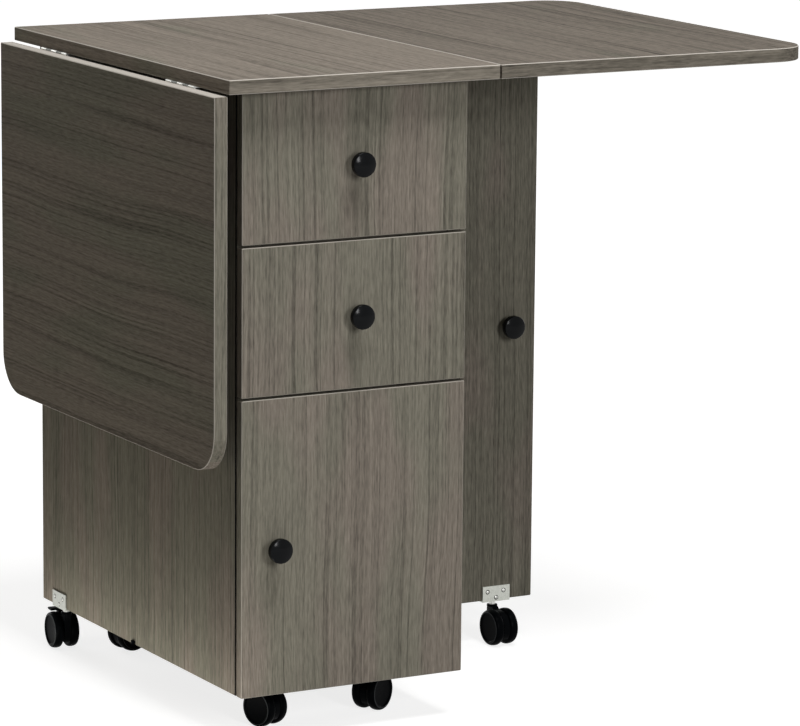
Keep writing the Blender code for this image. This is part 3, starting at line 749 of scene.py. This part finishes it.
def make_castors(plastic, tyre, steel):
    """Twin-wheel castors, placed by the axes of their swivel and roll joints."""
    joints = {joint["child"]: joint for joint in frame["joints"]}
    hub = Matrix.Translation((0, -TRAIL, WHEEL_RADIUS))
    lay = Matrix.Rotation(math.pi / 2, 4, "Y")
    ending = "_castor_hood"
    for word in [node.removesuffix(ending) for node in frame["nodes"] if node.endswith(ending)]:
        castor = f"{word}_castor"
        stem = Vector(joints[castor]["pos_m"])
        axle = Vector(joints[f"{word}_wheels"]["axis"])
        turn = math.atan2(axle.y, axle.x)
        stand = Matrix.Translation((stem.x, stem.y, 0)) @ Matrix.Rotation(turn, 4, "Z")

        joined = [turned_pin(NECK_RADIUS, NECK_LOW, NECK_TOP, NECK_LOW_BEND, NECK_TOP_BEND, COLLAR_STEPS)]
        if word == "left_gate":
            joined += brake_forms()
        name = f"{castor}_shell"
        shell = combined(name, slab(hood_outline(), HOOD_HALF, HOOD_EDGE), joined, [axle_bore(hub @ lay)])
        piece(name, shell, plastic, castor, stand, [f"{castor}_hood"])

        name = f"{castor}_stem"
        shank = turned_pin(STEM_RADIUS, NECK_TOP, STEM_TOP, 0, STEM_BEND, PIN_STEPS)
        piece(name, finished_mesh(name, shank), steel, castor, stand)

        name = f"{castor}_twin_wheels"
        wheels = finished_mesh(name, lathe(wheel_path()))
        piece(name, wheels, tyre, f"{word}_wheels", stand @ hub @ lay, [f"{castor}_wheels"])


def screw_form(radius):
    """A domed screw head with a cross recess, its seat on z = 0."""
    corners = [
        (0, 0, 0),
        (radius, 0, 0),
        (radius, SCREW_WALL * SCREW_RISE, SCREW_WALL_BEND * SCREW_RISE),
        (SCREW_CROWN_RADIUS * radius, SCREW_CROWN_HEIGHT * SCREW_RISE, SCREW_CROWN_BEND * radius),
        (0, SCREW_RISE, 0),
    ]
    lift = Matrix.Translation((0, 0, SCREW_RISE))
    size = Matrix.Diagonal((RECESS_LENGTH * radius, RECESS_WIDTH * radius, RECESS_DEPTH * SCREW_RISE, 1.0))
    slots = []
    for angle in (0, math.pi / 2):
        slot = bmesh.new()
        bmesh.ops.create_cube(slot, size=1.0)
        place = lift @ Matrix.Rotation(angle, 4, "Z") @ size
        bmesh.ops.transform(slot, matrix=place, verts=slot.verts)
        slots.append(slot)
    return combined("screw", lathe(rounded(corners), SCREW_STEPS), cut=slots)


def make_screws(name, spots, radius, look, body):
    """A group of screw heads in one piece. A spot is a point on a plate and the plate's outward direction."""
    places = []
    for number, (point, outward) in enumerate(spots):
        twist = Matrix.Rotation(FIRST_TWIST + TWIST_STEP * number, 4, "Z")
        places.append(seat(point, outward) @ twist)
    piece(name, copies(name, screw_form(radius), places), look, body)


def hinge_spots(node, outward, across, toward):
    """Three screw spots along a butt hinge's plate, on the face that looks outward.

    across is the axis from the pin to the plate's free edge, and toward is the way along it, 1 or -1.
    """
    low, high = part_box(node)
    through = X + Z - across
    edge = low[across] if toward < 0 else high[across]
    spots = []
    for share, inset in HINGE_SCREWS:
        point = Vector((0, 0, 0))
        point.y = low.y + share * (high.y - low.y)
        point[across] = edge - toward * inset
        point[through] = (low[through] + high[through]) / 2 + outward[through] * HINGE_HALF_PLATE
        spots.append((point, outward))
    return spots


def make_hinge_screws(look):
    """Screws in both halves of the leaf hinges. The left leaf hangs, so its plates look to the right."""
    top = []
    for word, toward in (("left", 1), ("right", -1)):
        for place in ("front", "rear"):
            top += hinge_spots(f"{word}_{place}_hinge_top_half", DOWNWARD, X, toward)
    right = []
    left = []
    for place in ("front", "rear"):
        right += hinge_spots(f"right_{place}_hinge_leaf_half", DOWNWARD, X, 1)
        left += hinge_spots(f"left_{place}_hinge_leaf_half", RIGHTWARD, Z, -1)
    make_screws("top_hinge_screws", top, HINGE_SCREW_RADIUS, look, "table")
    make_screws("right_leaf_hinge_screws", right, HINGE_SCREW_RADIUS, look, "right_leaf")
    make_screws("left_leaf_hinge_screws", left, HINGE_SCREW_RADIUS, look, "left_leaf")


def make_bracket_screws(bright, dark):
    """Three screws in each castor bracket, two high up and a low middle one, each on a thin dark ring that is
    painted shade for its countersink.
    """
    for word, outward, along, face in (("right", FORWARD, X, Y), ("left", LEFTWARD, Y, X)):
        low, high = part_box(f"{word}_castor_bracket")
        spots = []
        for share, height in BRACKET_SCREWS:
            width_share = share if word == "right" else 1 - share
            point = Vector((0, 0, low.z + height * (high.z - low.z)))
            point[along] = low[along] + width_share * (high[along] - low[along])
            point[face] = low[face]
            spots.append((point, outward))
        make_screws(f"{word}_bracket_screws", spots, BRACKET_SCREW_RADIUS, bright, f"{word}_gate")
        # Painted shade: thin dark rings round the screws stand for the shadowed countersinks
        name = f"{word}_bracket_countersinks"
        ring = finished_mesh("countersink", lathe(metres(COUNTERSINK_CORNERS), COUNTERSINK_STEPS))
        places = [seat(point, way) for point, way in spots]
        piece(name, copies(name, ring, places), dark, f"{word}_gate")


def seen(tree):
    """1 where a surface is seen straight, mirrored or through something clear, 0 where it gives light."""
    path = add(tree, "LightPath").outputs
    in_view = maths(tree, "MAXIMUM", path["Is Camera Ray"], path["Is Glossy Ray"])
    return maths(tree, "MAXIMUM", in_view, path["Is Transmission Ray"])


def make_surround():
    """A surround that looks white and gives a dim warm light."""
    world = bpy.data.worlds.new("studio")
    bpy.context.scene.world = world
    world.use_nodes = True
    tree = world.node_tree
    tree.nodes.clear()
    white = add(tree, "Background", {"Color": (*WHITE, 1.0), "Strength": 1.0})
    dim = add(tree, "Background", {"Color": (*WARM, 1.0), "Strength": AMBIENT})
    both = add(tree, "MixShader", {0: seen(tree), 1: dim.outputs[0], 2: white.outputs[0]})
    add(tree, "OutputWorld", {"Surface": both.outputs[0]})


def make_floor():
    """A pale round floor that keeps the table's shadow and fades to white away from it."""
    bm = bmesh.new()
    bmesh.ops.create_circle(bm, cap_ends=True, segments=FLOOR_SIDES, radius=FLOOR_RADIUS)
    mesh = bpy.data.meshes.new("floor")
    bm.to_mesh(mesh)
    bm.free()
    floor = bpy.data.objects.new("floor", mesh)
    floor.location.z = -FLOOR_DROP
    bpy.context.scene.collection.objects.link(floor)
    look, tree, surface = new_look("floor")
    surface.inputs["Base Color"].default_value = (FLOOR_SHADE, FLOOR_SHADE, FLOOR_SHADE, 1.0)
    surface.inputs["Roughness"].default_value = FLOOR_ROUGHNESS
    surface.inputs["Specular IOR Level"].default_value = 0.0
    surface.inputs["Emission Color"].default_value = (*WHITE, 1.0)
    away = length(tree, add(tree, "TexCoord").outputs["Object"])
    glow = maths(tree, "MULTIPLY", seen(tree), ramp(tree, away, *FLOOR_FADE, FLOOR_GLOW, 1.0))
    tree.links.new(glow, surface.inputs["Emission Strength"])
    mesh.materials.append(look)


def make_lamps():
    """Soft light from the front and above, with weak fills from the other sides."""
    for lamp in LAMPS:
        data = bpy.data.lights.new(lamp.name, "AREA")
        data.shape = "RECTANGLE"
        data.size, data.size_y = lamp.size
        data.color = lamp.colour
        data.energy = lamp.power
        obj = bpy.data.objects.new(lamp.name, data)
        obj.location = lamp.spot
        aim = Vector(lamp.target) - Vector(lamp.spot)
        obj.rotation_euler = aim.to_track_quat("-Z", "Y").to_euler()
        obj.visible_camera = False
        bpy.context.scene.collection.objects.link(obj)


def make_camera():
    """The camera that was fitted to the corners of the boards in the photograph."""
    forward = Vector((math.sin(YAW) * math.cos(PITCH), math.cos(YAW) * math.cos(PITCH), -math.sin(PITCH)))
    right = Vector((math.cos(YAW), -math.sin(YAW), 0))
    up = right.cross(forward)
    across = right * math.cos(ROLL) + up * math.sin(ROLL)
    over = up * math.cos(ROLL) - right * math.sin(ROLL)
    data = bpy.data.cameras.new("camera")
    data.sensor_fit = "HORIZONTAL"
    data.sensor_width = SENSOR
    data.lens = FOCAL_PIXELS * SENSOR / IMAGE_WIDTH
    data.shift_x = (IMAGE_WIDTH / 2 - CENTRE_PIXELS[0]) / IMAGE_WIDTH
    data.shift_y = (CENTRE_PIXELS[1] - IMAGE_HEIGHT / 2) / IMAGE_WIDTH
    data.clip_end = CLIP_END
    camera = bpy.data.objects.new("camera", data)
    matrix = Matrix((across, over, -forward)).transposed().to_4x4()
    matrix.translation = EYE
    camera.matrix_world = matrix
    bpy.context.scene.collection.objects.link(camera)
    bpy.context.scene.camera = camera


bpy.context.scene.view_settings.view_transform = "Standard"
make_camera()
bright_plate = plated("zinc_plate", ZINC, brightness=0.98, roughness=0.36)
bracket_plate = plated("bracket_plate", DULL_ZINC, brightness=0.93, roughness=0.4)
screw_plate = plated("screw_plate", ZINC, brightness=0.8, roughness=0.46)
# Painted shade for the hinges' leaf halves
hinge_shade_plate = plated("hinge_shade_plate", DULL_ZINC, brightness=0.34, roughness=0.5)
# Painted shade for the bracket screws' countersinks
countersink_shade_plate = plated("countersink", DULL_ZINC, brightness=0.16, roughness=0.5)
black_coating = moulded("black_coating", roughness=0.5, sheen=0.005)
hood_plastic = moulded("black_moulding", roughness=0.3, sheen=0.014)
knob_plastic = moulded("black_knob", roughness=0.16, sheen=0.085)
wheel_plastic = moulded("black_wheel", roughness=0.3, sheen=0.01, rim_highlight=True)
dress_boards()
dress_fittings(bright_plate, hinge_shade_plate, bracket_plate, black_coating)
make_knobs(knob_plastic)
make_castors(hood_plastic, wheel_plastic, bright_plate)
make_hinge_screws(screw_plate)
make_bracket_screws(screw_plate, countersink_shade_plate)
make_surround()
make_floor()
make_lamps()
